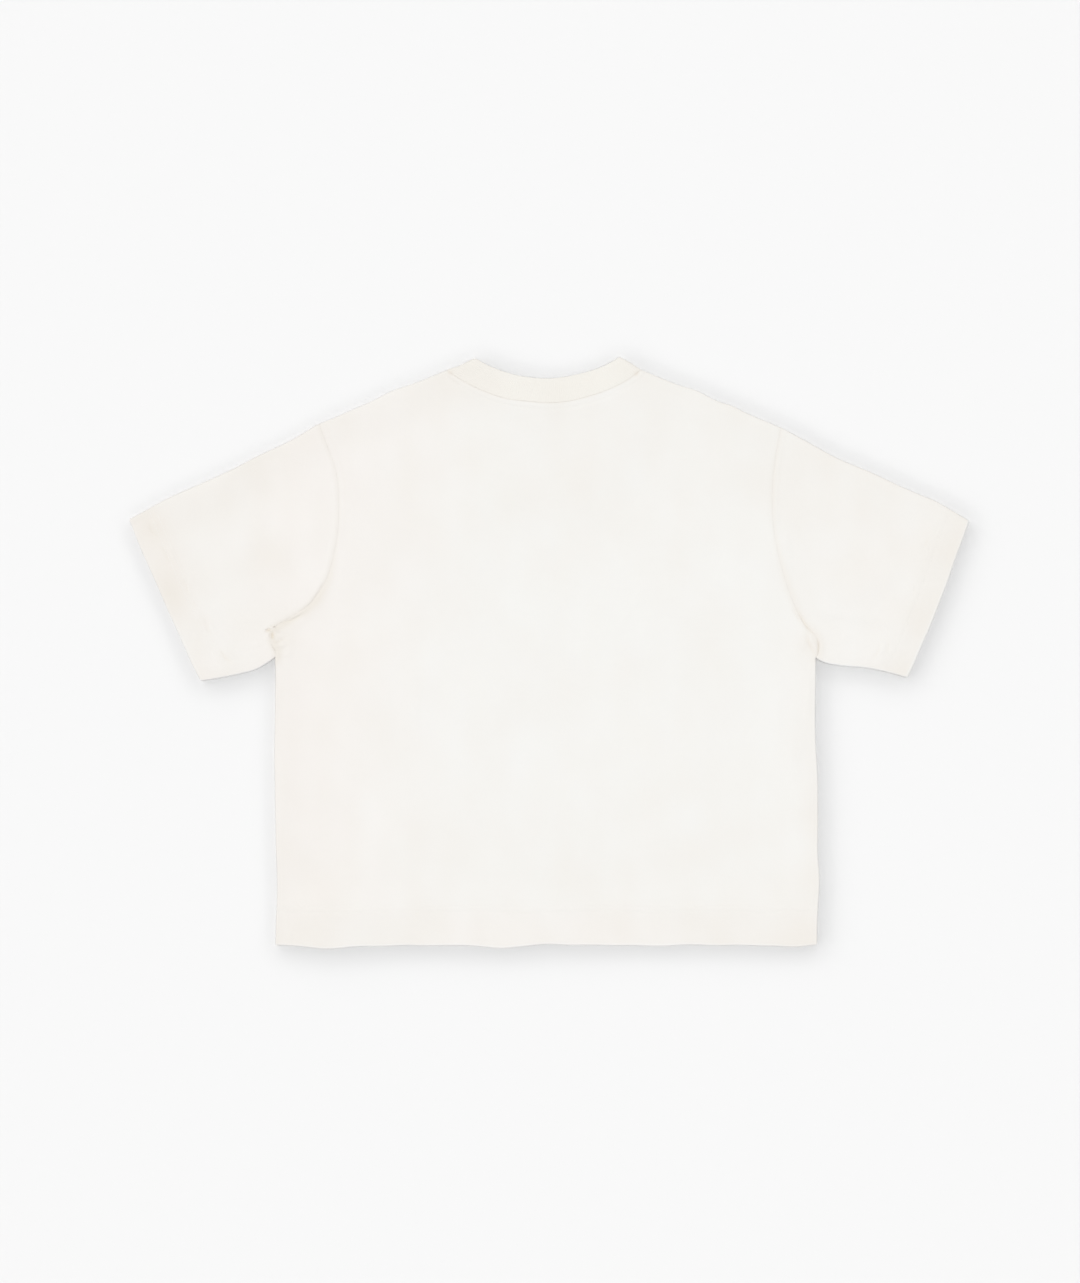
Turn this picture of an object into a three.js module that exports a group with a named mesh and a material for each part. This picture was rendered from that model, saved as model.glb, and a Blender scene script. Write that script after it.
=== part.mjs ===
// A plain, boxy, crew-neck T-shirt lying flat on its front, so that its back is uppermost.
// Millimetres. +X is to the right as seen from above, +Y runs from the hem to the collar, +Z is up.
//
// The garment is drawn in its own coordinates first: x from the centre line, y up from the hem. It has
// five cut pieces: back panel, front panel, two sleeves and a rib collar. Each is a wall of cloth with
// its upper layer lying on its lower one. Where the cloth turns from one layer to the other (sides,
// shoulders, sleeves and the collar's two ends) it rolls round a small half circle. Hem, cuffs and neck
// are open edges.
import * as THREE from "three";

// Cloth
const CLOTH = 1.2; // one layer of heavy jersey
const DOUBLE = 2 * CLOTH; // turned hems, and the collar's rib, which is folded on itself
const SEAM_GAP = 0.3; // between two pieces that are sewn together
const ROLL = 2.7; // radius of the half circle at a folded edge
const FULL_HEIGHT = 2 * ROLL; // over folded edges, hems and collar
const LOFT = 3.0; // top of the upper layer in the middle of a panel
const EDGE_FADE = 42; // how far in from a folded edge the upper layer stays raised
const HEM_FADE = 26; // how far past the turned cloth it stays raised

// Cut
const HALF_CHEST = 280;
const ARMPIT_Y = 298;
const HEM_DEPTH = 41;
const CUFF_DEPTH = 30;
const BACK_NECK_DROP = 34; // from the neck points down to the seam's lowest point
const FRONT_NECK_DROP = 95;
const BACK_RIB_DROP = 21; // from the collar's peaks down to its free edge
const FRONT_RIB_DROP = 82;

// Where each side of the garment lies, as [x, y]. The armhole runs from the armpit up to the tip of the
// shoulder, the sleeve's top edge from there to the cuff, and the underarm from the armpit to the cuff.
const SIDES = {
  left: {
    hem: [-HALF_CHEST, 0],
    armpit: [-HALF_CHEST, ARMPIT_Y],
    armhole: [
      [-279, 304.5], [-282.6, 311], [-284.6, 320], [-281, 328.5], [-264, 340], [-241, 357],
      [-223, 389], [-214, 440], [-217, 490],
    ],
    tip: [-234, 540],
    sleeveTop: [[-262, 523.5], [-300, 505], [-340, 486.5], [-386, 465]],
    underarm: [[-291, 291], [-304, 284.8], [-328, 277.8]],
    neck: [-102, 596],
    peak: [-72, 608],
    cuffTop: [-431, 440.5],
    cuffBulge: 0.9,
    cuffLow: [-356, 273],
  },
  right: {
    hem: [HALF_CHEST, 0],
    armpit: [HALF_CHEST + 2, ARMPIT_Y],
    armhole: [
      [281, 303], [281.6, 312], [278.5, 322], [270, 331], [258, 351], [244, 391],
      [235, 440], [236, 490],
    ],
    tip: [243, 536.5],
    sleeveTop: [[295, 509], [355, 480.8], [388, 466], [406, 458.6]],
    underarm: [[290, 294], [304, 291.8], [330, 287.6], [355, 281.4]],
    neck: [99, 595.5],
    peak: [76, 609],
    cuffTop: [438, 440],
    cuffBulge: 2.6,
    cuffLow: [373.5, 276.5],
  },
};

// The largest folds of the upper layer. Each is a ridge from one point to another, with its height and
// how far it spreads to the left and to the right of its way.
const FOLDS = [
  { name: "left armpit lip", from: [-220, 398], to: [-284, 328], height: 1.8, left: 6, right: 22 },
  { name: "left armpit tuck", from: [-243, 334], to: [-280, 306], height: 0.9, left: 5, right: 6 },
  { name: "right armpit pleat", from: [258, 358], to: [288, 317], height: 0.8, left: 9, right: 4 },
  { name: "left sleeve drag", from: [-268, 500], to: [-262, 385], height: 0.9, left: 16, right: 20 },
  { name: "right sleeve drag", from: [392, 400], to: [292, 352], height: 0.9, left: 14, right: 20 },
  { name: "right side, inner", from: [241, 300], to: [243, 170], height: 0.8, left: 12, right: 9 },
  { name: "right side, outer", from: [259, 262], to: [255, 120], height: 0.7, left: 9, right: 10 },
  { name: "left side", from: [-136, 320], to: [-140, 190], height: 0.7, left: 16, right: 16 },
];
const FOLD_CLEAR = 9; // folds die away this near a folded edge

// Grid spacing
const quarterTurn = (degrees) => ROLL * (1 - Math.cos(THREE.MathUtils.degToRad(degrees)));
const ROLL_STEPS = [...[0, 30, 60, 90].map(quarterTurn), 11]; // in from a folded edge
const BODY_STEP = 29;
const ARMHOLE_STEP = 7.5; // the first one, by the armpit, where the armhole hooks
const ARMHOLE_GROWTH = 1.14; // of each step over the one before
const NECK_STEP = 15;
const SLEEVE_STATIONS = [0, 0.018, 0.04, 0.07, 0.11, 0.2, 0.31, 0.43, 0.55, 0.67, 0.78, 0.84, 0.89, 1];
const RIB_ROWS = [0, 0.35, 0.7, 1];

const COTTON = { color: 0xf5f1ea, roughness: 0.95, metalness: 0 };

const point = ([x, y]) => new THREE.Vector2(x, y);

// Between a and b. At either end it is that very point, since a seam's samples are looked up later.
function mix(a, b, share) {
  if (share === 0) return a;
  if (share === 1) return b;
  return a.clone().lerp(b, share);
}

const smooth = THREE.MathUtils.smoothstep;

// ---- Edges of the cut, each a THREE curve ----

const line = (a, b) => new THREE.LineCurve(point(a), point(b));

// A neckline: a cubic that leaves both ends steeply and is drop lower in the middle.
function scoop(left, right, drop, fullness) {
  const [a, b] = [point(left), point(right)];
  const reach = ((b.x - a.x) / 2) * (1 - fullness);
  const low = (4 / 3) * drop;
  return new THREE.CubicBezierCurve(
    a,
    new THREE.Vector2(a.x + reach, a.y - low),
    new THREE.Vector2(b.x - reach, b.y - low),
    b,
  );
}

const armholes = {};
const sleeveTops = {};
const underarms = {};
const cuffs = {};
for (const [name, side] of Object.entries(SIDES)) {
  const [low, top] = [point(side.cuffLow), point(side.cuffTop)];
  const outwards = top.clone().sub(low).normalize().rotateAround(new THREE.Vector2(), -Math.PI / 2);
  const fullness = outwards.multiplyScalar(2 * side.cuffBulge * Math.sign(outwards.x * low.x));
  cuffs[name] = new THREE.QuadraticBezierCurve(low, mix(low, top, 0.5).add(fullness), top);
  armholes[name] = new THREE.SplineCurve([side.armpit, ...side.armhole, side.tip].map(point));
  sleeveTops[name] = new THREE.SplineCurve([side.tip, ...side.sleeveTop, side.cuffTop].map(point));
  underarms[name] = new THREE.SplineCurve([side.armpit, ...side.underarm, side.cuffLow].map(point));
}
const { left: LEFT, right: RIGHT } = SIDES;
const necklines = {
  back: {
    seam: scoop(LEFT.neck, RIGHT.neck, BACK_NECK_DROP, 0.49),
    free: scoop(LEFT.peak, RIGHT.peak, BACK_RIB_DROP, 0.5),
  },
  front: {
    seam: scoop(LEFT.neck, RIGHT.neck, FRONT_NECK_DROP, 0.55),
    free: scoop(LEFT.peak, RIGHT.peak, FRONT_RIB_DROP, 0.6),
  },
};

// ---- Folded edges, and how far a point is from them ----

const FINE = 48; // chords to a curved edge
const ON_EDGE = 0.02; // nearer than this is on the edge
// Each runs with the cloth on its left.
const foldedEdges = [
  [point(RIGHT.hem), ...underarms.right.getPoints(FINE)],
  [...sleeveTops.right.getPoints(FINE).toReversed(), point(RIGHT.neck), point(RIGHT.peak)],
  [point(LEFT.peak), point(LEFT.neck), ...sleeveTops.left.getPoints(FINE)],
  [...underarms.left.getPoints(FINE).toReversed(), point(LEFT.hem)],
];

function nearestOnSegment(p, a, b) {
  const along = b.clone().sub(a);
  const share = THREE.MathUtils.clamp(p.clone().sub(a).dot(along) / along.lengthSq(), 0, 1);
  return a.clone().addScaledVector(along, share);
}

// The distance to the nearest folded edge, and the way in from that edge.
function nearestFold(p) {
  let distance = Infinity;
  let inward = new THREE.Vector2();
  for (const edge of foldedEdges) {
    for (let i = 1; i < edge.length; i += 1) {
      const [a, b] = [edge[i - 1], edge[i]];
      const away = p.clone().sub(nearestOnSegment(p, a, b));
      const d = away.length() < ON_EDGE ? 0 : away.length();
      if (d > distance) continue;
      const way = b.clone().sub(a).normalize();
      const wayIn = d > 0 ? away.divideScalar(d) : new THREE.Vector2(-way.y, way.x);
      inward = d < distance ? wayIn : inward.add(wayIn);
      distance = d;
    }
  }
  return { distance, inward: inward.normalize() };
}

const distanceToFold = (p) => nearestFold(p).distance;

// ---- Heights of the two layers ----

const cuffPoints = Object.values(cuffs).map((cuff) => cuff.getPoints(FINE / 4));

// How far p lies in from the nearest of the three turned edges, less the depth of its hem.
function pastHem(p) {
  let past = p.y - HEM_DEPTH;
  for (const points of cuffPoints) {
    for (let i = 1; i < points.length; i += 1) {
      past = Math.min(past, p.distanceTo(nearestOnSegment(p, points[i - 1], points[i])) - CUFF_DEPTH);
    }
  }
  return past;
}

// 1 over folded edges, hems and collar, and 0 in the middle of a panel.
function raised(p) {
  const atEdge = 1 - smooth(distanceToFold(p), ROLL, EDGE_FADE);
  const atHem = 1 - smooth(pastHem(p), 0, HEM_FADE);
  const collarMiddle = new THREE.Vector2(0, 560);
  const atCollar = 1 - smooth(p.distanceTo(collarMiddle), 85, 140);
  return 1 - (1 - atEdge) * (1 - atHem) * (1 - atCollar);
}

function foldHeight(p) {
  let height = 0;
  for (const fold of FOLDS) {
    const from = point(fold.from);
    const way = point(fold.to).sub(from);
    const length = way.length();
    way.normalize();
    const offset = p.clone().sub(from);
    const along = offset.dot(way) / length;
    const across = way.x * offset.y - way.y * offset.x; // positive to the left of the way
    const spread = across > 0 ? fold.left : fold.right;
    const taper = smooth(along, -0.15, 0.3) * (1 - smooth(along, 0.75, 1.12));
    height += fold.height * taper * Math.exp(-((across / spread) ** 2));
  }
  return height * smooth(distanceToFold(p), 0, FOLD_CLEAR);
}

// Sine of the angle round the folded edge's half circle: 0 at the outline, 1 once on the flat.
const rollSine = (distance) => Math.sqrt(1 - Math.max(0, 1 - distance / ROLL) ** 2);

const layers = {
  upper: (p) => {
    const top = LOFT + (FULL_HEIGHT - LOFT) * raised(p) + foldHeight(p);
    return ROLL + (top - ROLL) * rollSine(distanceToFold(p));
  },
  lower: (p) => ROLL * (1 - rollSine(distanceToFold(p))),
};

// The direction out of a layer's outer face: level on the outline, and upright once past the roll.
function outward(layer, p) {
  const { distance, inward } = nearestFold(p);
  const sine = rollSine(distance);
  const cosine = Math.sqrt(1 - sine ** 2);
  return new THREE.Vector3(-inward.x * cosine, -inward.y * cosine, layer === "upper" ? sine : -sine);
}

// The turned cloth is double: the wall thickens at the hem's line of stitches.
const clothThickness = (p) => CLOTH + (DOUBLE - CLOTH) * (1 - smooth(pastHem(p), -4, 2));

// For each sample that was moved to one side of a seam: its place on the seam, and the way across it.
const onSeam = new Map();

// One point of a wall: its outer face, and the inner face a wall's thickness in. Along a seam the end
// of the wall stands straight over the seam's line, so that the two pieces' ends face each other.
function wallPoint(layer, p, thickness, seamLift = 0) {
  const { source, across } = onSeam.get(p) ?? { source: p, across: new THREE.Vector3() };
  const outer = new THREE.Vector3(p.x, p.y, layers[layer](source) + seamLift);
  const out = outward(layer, source);
  out.addScaledVector(across, -out.dot(across)).normalize();
  return { outer, inner: outer.clone().addScaledVector(out, -thickness) };
}

// ---- Grids ----

// Distances along an edge, as shares of its length, finer near the ends that meet a folded edge.
function shares(length, step, foldAtStart, foldAtEnd) {
  const start = foldAtStart ? ROLL_STEPS : [0];
  const end = foldAtEnd ? ROLL_STEPS : [0];
  const [from, to] = [start.at(-1), length - end.at(-1)];
  const count = Math.max(1, Math.round((to - from) / step));
  const middle = Array.from({ length: count - 1 }, (_, i) => from + ((to - from) * (i + 1)) / count);
  return [...start, ...middle, ...end.toReversed().map((d) => length - d)].map((d) => d / length);
}

// Shares of an armhole's length, from the armpit up.
function armholePlaces(length) {
  const start = ROLL_STEPS.slice(0, -1);
  const end = ROLL_STEPS.toReversed().map((d) => length - d);
  const places = [...start];
  let step = ARMHOLE_STEP;
  while (places.at(-1) + 1.5 * step < end[0]) {
    places.push(places.at(-1) + step);
    step *= ARMHOLE_GROWTH;
  }
  return [...places, ...end].map((d) => d / length);
}

const hemRows = [0, HEM_DEPTH - 5, HEM_DEPTH + 3].map((y) => y / ARMPIT_Y);
const sideRows = shares(ARMPIT_Y, BODY_STEP, false, false).filter((s) => s * ARMPIT_Y > HEM_DEPTH + 12);
const sideShares = [...hemRows, ...sideRows];
const armholeShares = armholePlaces(armholes.right.getLength());
const shoulderLength = point(RIGHT.tip).distanceTo(point(RIGHT.neck));
const shoulderShares = shares(shoulderLength, BODY_STEP, true, false);
const neckShares = shares(necklines.back.seam.getLength(), NECK_STEP, true, true);

// Samples of a seam, moved to one side by half the gap. The ends move along the folded edges there.
function seamPoints(curve, at, side, startWay, endWay) {
  return at.map((share, i) => {
    const p = curve.getPointAt(share);
    const way = curve.getTangentAt(share);
    const across = new THREE.Vector2(-way.y, way.x).multiplyScalar(side);
    let move = across;
    if (i === 0) move = startWay.clone().divideScalar(startWay.dot(across));
    if (i === at.length - 1) move = endWay.clone().divideScalar(endWay.dot(across));
    const moved = p.clone().addScaledVector(move, SEAM_GAP / 2);
    onSeam.set(moved, { source: p, across: new THREE.Vector3(across.x, across.y, 0) });
    return moved;
  });
}

const direction = (a, b) => point(b).sub(point(a)).normalize();

// The armhole as the body's edge or as the sleeve's.
function armholeEdge(name, ofSleeve) {
  const side = SIDES[name];
  const away = name === "left" ? 1 : -1; // the sleeve is to the left of the left armhole's way up
  const startWay = direction(side.armpit, ofSleeve ? side.underarm[0] : side.hem);
  const endWay = direction(side.tip, ofSleeve ? side.sleeveTop[0] : side.neck);
  return seamPoints(armholes[name], armholeShares, ofSleeve ? away : -away, startWay, endWay);
}

// A neckline as the panel's edge or as the collar's.
function neckEdge(layer, ofCollar) {
  const startWay = ofCollar ? direction(LEFT.neck, LEFT.peak) : direction(LEFT.neck, LEFT.tip);
  const endWay = ofCollar ? direction(RIGHT.neck, RIGHT.peak) : direction(RIGHT.neck, RIGHT.tip);
  return seamPoints(necklines[layer].seam, neckShares, ofCollar ? 1 : -1, startWay, endWay);
}

// A grid of plan points between four edges (a Coons patch). rows and columns hold the shares.
function patch(rows, columns, { left, right, bottom, top }) {
  const [p00, p10, p01, p11] = [left[0], right[0], left.at(-1), right.at(-1)];
  const [lastRow, lastColumn] = [rows.length - 1, columns.length - 1];
  return rows.map((v, r) =>
    columns.map((u, c) => {
      if (c === 0) return left[r];
      if (c === lastColumn) return right[r];
      if (r === 0) return bottom[c];
      if (r === lastRow) return top[c];
      const acrossRow = mix(left[r], right[r], u);
      const upColumn = mix(bottom[c], top[c], v);
      const corners = mix(mix(p00, p10, u), mix(p01, p11, u), v);
      return acrossRow.add(upColumn).sub(corners);
    }),
  );
}

// The plan grid of a body panel. Its top edge is shoulder, neckline, shoulder.
function panelPlan(layer) {
  const sideShare = ARMPIT_Y / (ARMPIT_Y + armholes.right.getLength());
  const rows = [
    ...sideShares.slice(0, -1).map((s) => s * sideShare),
    ...armholeShares.map((s) => sideShare + s * (1 - sideShare)),
  ];
  const edgeOf = (name) => {
    const side = SIDES[name];
    const armhole = armholeEdge(name, false);
    const below = sideShares.slice(0, -1).map((s) => mix(point(side.hem), armhole[0], s));
    return [...below, ...armhole];
  };
  const [neckStart, neckEnd] = [LEFT.neck, RIGHT.neck].map(([x]) => (x + HALF_CHEST) / (2 * HALF_CHEST));
  const columns = [
    ...shoulderShares.slice(0, -1).map((s) => s * neckStart),
    ...neckShares.map((s) => neckStart + s * (neckEnd - neckStart)),
    ...shoulderShares.slice(0, -1).toReversed().map((s) => 1 - s * (1 - neckEnd)),
  ];
  const [left, right, neck] = [edgeOf("left"), edgeOf("right"), neckEdge(layer, false)];
  const top = [
    ...shoulderShares.slice(0, -1).map((s) => mix(left.at(-1), neck[0], s)),
    ...neck,
    ...shoulderShares.slice(0, -1).toReversed().map((s) => mix(right.at(-1), neck.at(-1), s)),
  ];
  const bottom = columns.map((u) => mix(left[0], right[0], u));
  return patch(rows, columns, { left, right, bottom, top });
}

// ---- Solids ----

// A closed wall between an outer and an inner grid of points. A ring's columns join round.
function wall(grid, isRing) {
  const [rowCount, columnCount] = [grid.length, grid[0].length];
  const faces = [grid.flat().map((w) => w.outer), grid.flat().map((w) => w.inner)];
  const at = (face, row, column) => (face * rowCount + row) * columnCount + (column % columnCount);
  const index = [];
  const quad = (a, b, c, d) => index.push(a, b, c, a, c, d);
  const lastRow = rowCount - 1;
  const lastColumn = columnCount - 1;
  const columnSpans = isRing ? columnCount : lastColumn;
  for (let c = 0; c < columnSpans; c += 1) {
    for (let r = 0; r < lastRow; r += 1) {
      quad(at(0, r, c), at(0, r, c + 1), at(0, r + 1, c + 1), at(0, r + 1, c));
      quad(at(1, r, c), at(1, r + 1, c), at(1, r + 1, c + 1), at(1, r, c + 1));
    }
    quad(at(0, 0, c), at(1, 0, c), at(1, 0, c + 1), at(0, 0, c + 1));
    quad(at(0, lastRow, c), at(0, lastRow, c + 1), at(1, lastRow, c + 1), at(1, lastRow, c));
  }
  for (let r = 0; r < lastRow && !isRing; r += 1) {
    quad(at(0, r, 0), at(0, r + 1, 0), at(1, r + 1, 0), at(1, r, 0));
    quad(at(0, r, lastColumn), at(1, r, lastColumn), at(1, r + 1, lastColumn), at(0, r + 1, lastColumn));
  }
  const points = faces.flat();
  const geometry = new THREE.BufferGeometry().setFromPoints(points);
  geometry.setIndex(signedVolume(points, index) < 0 ? index.toReversed() : index);
  geometry.computeVertexNormals();
  return geometry;
}

function signedVolume(points, index) {
  let volume = 0;
  for (let i = 0; i < index.length; i += 3) {
    const [a, b, c] = [points[index[i]], points[index[i + 1]], points[index[i + 2]]];
    volume += a.clone().cross(b).dot(c) / 6;
  }
  return volume;
}

function clothMesh(name, geometry) {
  const mesh = new THREE.Mesh(geometry, new THREE.MeshStandardMaterial(COTTON));
  mesh.name = name;
  return mesh;
}

// Back or front. The two meet along sides and shoulders, half a seam's gap each from the roll's middle.
function panel(name, layer, neckline) {
  const lift = layer === "upper" ? SEAM_GAP / 2 : -SEAM_GAP / 2;
  const grid = panelPlan(neckline).map((row) =>
    row.map((p) => {
      const onOutline = 1 - rollSine(distanceToFold(p));
      return wallPoint(layer, p, clothThickness(p), lift * onOutline);
    }),
  );
  return clothMesh(name, wall(grid, false));
}

// A piece that goes all round: its upper plan grid one way, then its lower one back.
function ring(name, upperPlan, lowerPlan, thicknessAt) {
  const grid = upperPlan.map((row, r) => [
    ...row.map((p) => wallPoint("upper", p, thicknessAt(p))),
    ...lowerPlan[r].slice(1, -1).toReversed().map((p) => wallPoint("lower", p, thicknessAt(p))),
  ]);
  return clothMesh(name, wall(grid, true));
}

function sleeve(name, sideName) {
  const side = SIDES[sideName];
  const armhole = armholeEdge(sideName, true);
  const cuff = armholeShares.map((s) => cuffs[sideName].getPointAt(s));
  const foldFrom = (first, corner, curve) => {
    const start = first.distanceTo(point(corner)) / curve.getLength();
    return [first, ...SLEEVE_STATIONS.slice(1).map((s) => curve.getPointAt(start + s * (1 - start)))];
  };
  const plan = patch(SLEEVE_STATIONS, armholeShares, {
    left: foldFrom(armhole[0], side.armpit, underarms[sideName]),
    right: foldFrom(armhole.at(-1), side.tip, sleeveTops[sideName]),
    bottom: armhole,
    top: cuff,
  });
  return ring(name, plan, plan, clothThickness);
}

function collar() {
  const planOf = (layer) => {
    const seam = neckEdge(layer, true);
    const free = neckShares.map((s) => necklines[layer].free.getPointAt(s));
    return RIB_ROWS.map((w) => seam.map((p, i) => mix(p, free[i], w)));
  };
  return ring("collar", planOf("back"), planOf("front"), () => DOUBLE);
}

const shirt = new THREE.Group();
shirt.add(
  panel("back_panel", "upper", "back"),
  panel("front_panel", "lower", "front"),
  sleeve("sleeve_left", "left"),
  sleeve("sleeve_right", "right"),
  collar(),
);

// The origin is under the middle of the whole garment, on the surface it lies on.
const middle = new THREE.Box3().setFromObject(shirt).getCenter(new THREE.Vector3());
shirt.position.set(-middle.x, -middle.y, 0);

export default shirt;
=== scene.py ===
"""A plain, boxy, crew-neck T-shirt of off-white cotton, lying flat on its front with its back uppermost.

Each solid of the frame is dressed in a thin closed shell of cloth. Shapes are worked out in the
garment's own millimetres: x from its centre line, y up from its hem, z up from what it lies on.
A shell has an upper or a lower layer, or both where the piece goes all round. Seams, lines of
stitches, creases and rib are moved out or in from its smooth form.
"""

import math

import bpy
import numpy as np
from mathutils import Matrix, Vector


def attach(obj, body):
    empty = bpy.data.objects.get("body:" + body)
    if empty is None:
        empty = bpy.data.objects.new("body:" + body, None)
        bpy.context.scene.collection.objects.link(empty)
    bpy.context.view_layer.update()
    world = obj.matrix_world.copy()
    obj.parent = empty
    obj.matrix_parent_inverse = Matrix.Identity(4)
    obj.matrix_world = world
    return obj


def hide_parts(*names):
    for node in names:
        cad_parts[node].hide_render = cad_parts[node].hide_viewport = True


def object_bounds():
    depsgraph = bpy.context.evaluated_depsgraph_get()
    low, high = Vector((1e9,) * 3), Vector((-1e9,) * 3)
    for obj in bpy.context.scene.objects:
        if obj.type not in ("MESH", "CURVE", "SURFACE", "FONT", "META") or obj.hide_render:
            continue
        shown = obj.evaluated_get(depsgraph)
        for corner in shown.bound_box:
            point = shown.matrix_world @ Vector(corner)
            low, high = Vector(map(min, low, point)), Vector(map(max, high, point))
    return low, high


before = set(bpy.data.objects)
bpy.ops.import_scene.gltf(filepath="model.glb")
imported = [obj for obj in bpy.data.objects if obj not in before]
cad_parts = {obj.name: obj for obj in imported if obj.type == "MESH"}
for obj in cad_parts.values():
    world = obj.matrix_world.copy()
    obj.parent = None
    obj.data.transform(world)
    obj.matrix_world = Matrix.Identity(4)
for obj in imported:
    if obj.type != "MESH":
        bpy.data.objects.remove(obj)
cad_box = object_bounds()

MM = 0.001
LAYERS = ("upper", "lower")
RANDOM = np.random.default_rng(41)

# ---- Cloth, in millimetres ----
CLOTH = 1.2
DOUBLE = 2 * CLOTH
ROLL = 2.7  # half the height of a folded edge
ROLL_REACH = 1.9  # how far in from the fold the roll goes
FULL_HEIGHT = 2 * ROLL
LOFT = 3.7  # the upper layer's top in the middle of a panel
LEAST_LOFT = 2.6
EDGE_FADE = 42
HEM_FADE = 26
SEAM_GAP = 0.05
SEAM_STEP = 3.2
ARMHOLE_ROUND = 0.15  # radius that each piece's edge turns down with into a seam
NECK_ROUND = 0.35
LEE = np.array([0.4, -0.9])  # the way that the least light comes from, in plan

# ---- The cut ----
HALF_CHEST = 280
ARMPIT_Y = 298
HEM_STITCHES = (35, 41)
CUFF_STITCHES = (23, 29.5)
HEM_DEPTH = HEM_STITCHES[1]
CUFF_DEPTH = CUFF_STITCHES[1]
HEM_ZONE = 60  # the turned edge of what lies lower is the hem, and of the rest a cuff
NECK_STITCH = 6.2
COLLAR_MIDDLE = (0, 560)
LEFT = {
    "hem": (-HALF_CHEST, 0),
    "armpit": (-HALF_CHEST, ARMPIT_Y),
    "armhole": [
        (-279, 304.5), (-282.6, 311), (-284.6, 320), (-281, 328.5), (-264, 340), (-241, 357),
        (-223, 389), (-214, 440), (-217, 490),
    ],
    "tip": (-234, 540),
    "sleeve_top": [(-262, 523.5), (-300, 505), (-340, 486.5), (-386, 465)],
    "neck": (-102, 596),
    "peak": (-72, 608),
    "cuff_top": (-431, 440.5),
    "cuff_bulge": 0.9,
    "cuff_low": (-356, 273),
    "underarm": [(-328, 277.8), (-304, 284.8), (-291, 291)],
}
RIGHT = {
    "hem": (HALF_CHEST, 0),
    "armpit": (HALF_CHEST, ARMPIT_Y),
    "armhole": [
        (282.4, 305), (282.6, 313), (279, 321.5), (270, 331), (258, 351), (244, 391),
        (235, 440), (236, 490),
    ],
    "tip": (243, 536.5),
    "sleeve_top": [(295, 509), (355, 480.8), (388, 466), (406, 458.6)],
    "neck": (99, 595.5),
    "peak": (76, 609),
    "cuff_top": (438, 440),
    "cuff_bulge": 2.6,
    "cuff_low": (373.5, 276.5),
    "underarm": [(355, 281.4), (330, 287.6), (304, 291.8), (290, 294)],
}
SIDES = {"left": LEFT, "right": RIGHT}

# The leftmost point of the frame is the left cuff's top corner, and its nearest is the hem.
ORIGIN = np.array([cad_box[0].x / MM - LEFT["cuff_top"][0], cad_box[0].y / MM, 0.0])


# ---- Curves in plan ----
def smooth(value, low, high):
    """0 up to low, 1 from high on, with an even rise between them."""
    share = np.clip((value - low) / (high - low), 0, 1)
    return share * share * (3 - 2 * share)


def dip(distance, width):
    """1 at no distance, dying away past the width."""
    return np.exp(-((distance / width) ** 2))


def spot(points, place, reach):
    """1 at a place, dying away all round it."""
    return dip(np.linalg.norm(points - place, axis=1), reach)


def unit(vectors):
    length = np.linalg.norm(vectors, axis=-1, keepdims=True)
    return vectors / np.maximum(length, 1e-12)


def left_of(ways):
    """A plan direction turned a quarter to the left."""
    return np.stack([-ways[..., 1], ways[..., 0]], -1)


class Curve:
    """A plan curve through close points, read by shares of its length."""

    def __init__(self, points):
        self.points = np.asarray(points, float)
        steps = np.linalg.norm(np.diff(self.points, axis=0), axis=1)
        self.reach = np.concatenate([[0], np.cumsum(steps)])
        self.length = self.reach[-1]

    def at(self, shares):
        along = np.asarray(shares) * self.length
        return np.stack([np.interp(along, self.reach, self.points[:, k]) for k in (0, 1)], -1)

    def ways(self, shares):
        shares = np.asarray(shares)
        step = 0.2 / self.length
        return unit(self.at(np.minimum(shares + step, 1)) - self.at(np.maximum(shares - step, 0)))


def spline(points, per_span=16):
    """A Catmull-Rom curve through all its points."""
    points = np.asarray(points, float)
    padded = np.concatenate([points[:1], points, points[-1:]])
    t = np.linspace(0, 1, per_span, endpoint=False)[:, None]
    spans = []
    for p0, p1, p2, p3 in zip(padded, padded[1:], padded[2:], padded[3:]):
        v0, v1 = (p2 - p0) / 2, (p3 - p1) / 2
        cubed = 2 * (p1 - p2) + v0 + v1
        squared = 3 * (p2 - p1) - 2 * v0 - v1
        spans.append(cubed * t**3 + squared * t**2 + v0 * t + p1)
    return Curve(np.concatenate([*spans, points[-1:]]))


def bezier(points, steps=64):
    t = np.linspace(0, 1, steps + 1)[:, None]
    degree = len(points) - 1
    return Curve(sum(
        math.comb(degree, k) * (1 - t) ** (degree - k) * t**k * np.asarray(point, float)
        for k, point in enumerate(points)
    ))


def scoop(left, right, drop, fullness):
    """A neckline that leaves both ends steeply and is drop lower in the middle."""
    reach = (right[0] - left[0]) / 2 * (1 - fullness)
    low = 4 / 3 * drop
    return bezier([left, (left[0] + reach, left[1] - low), (right[0] - reach, right[1] - low), right])


def cuff_curve(side):
    low, top = np.array(side["cuff_low"]), np.array(side["cuff_top"])
    out = left_of(unit(top - low))
    out *= math.copysign(1, out[0] * low[0])
    return bezier([low, (low + top) / 2 + 2 * side["cuff_bulge"] * out, top], 24)


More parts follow.
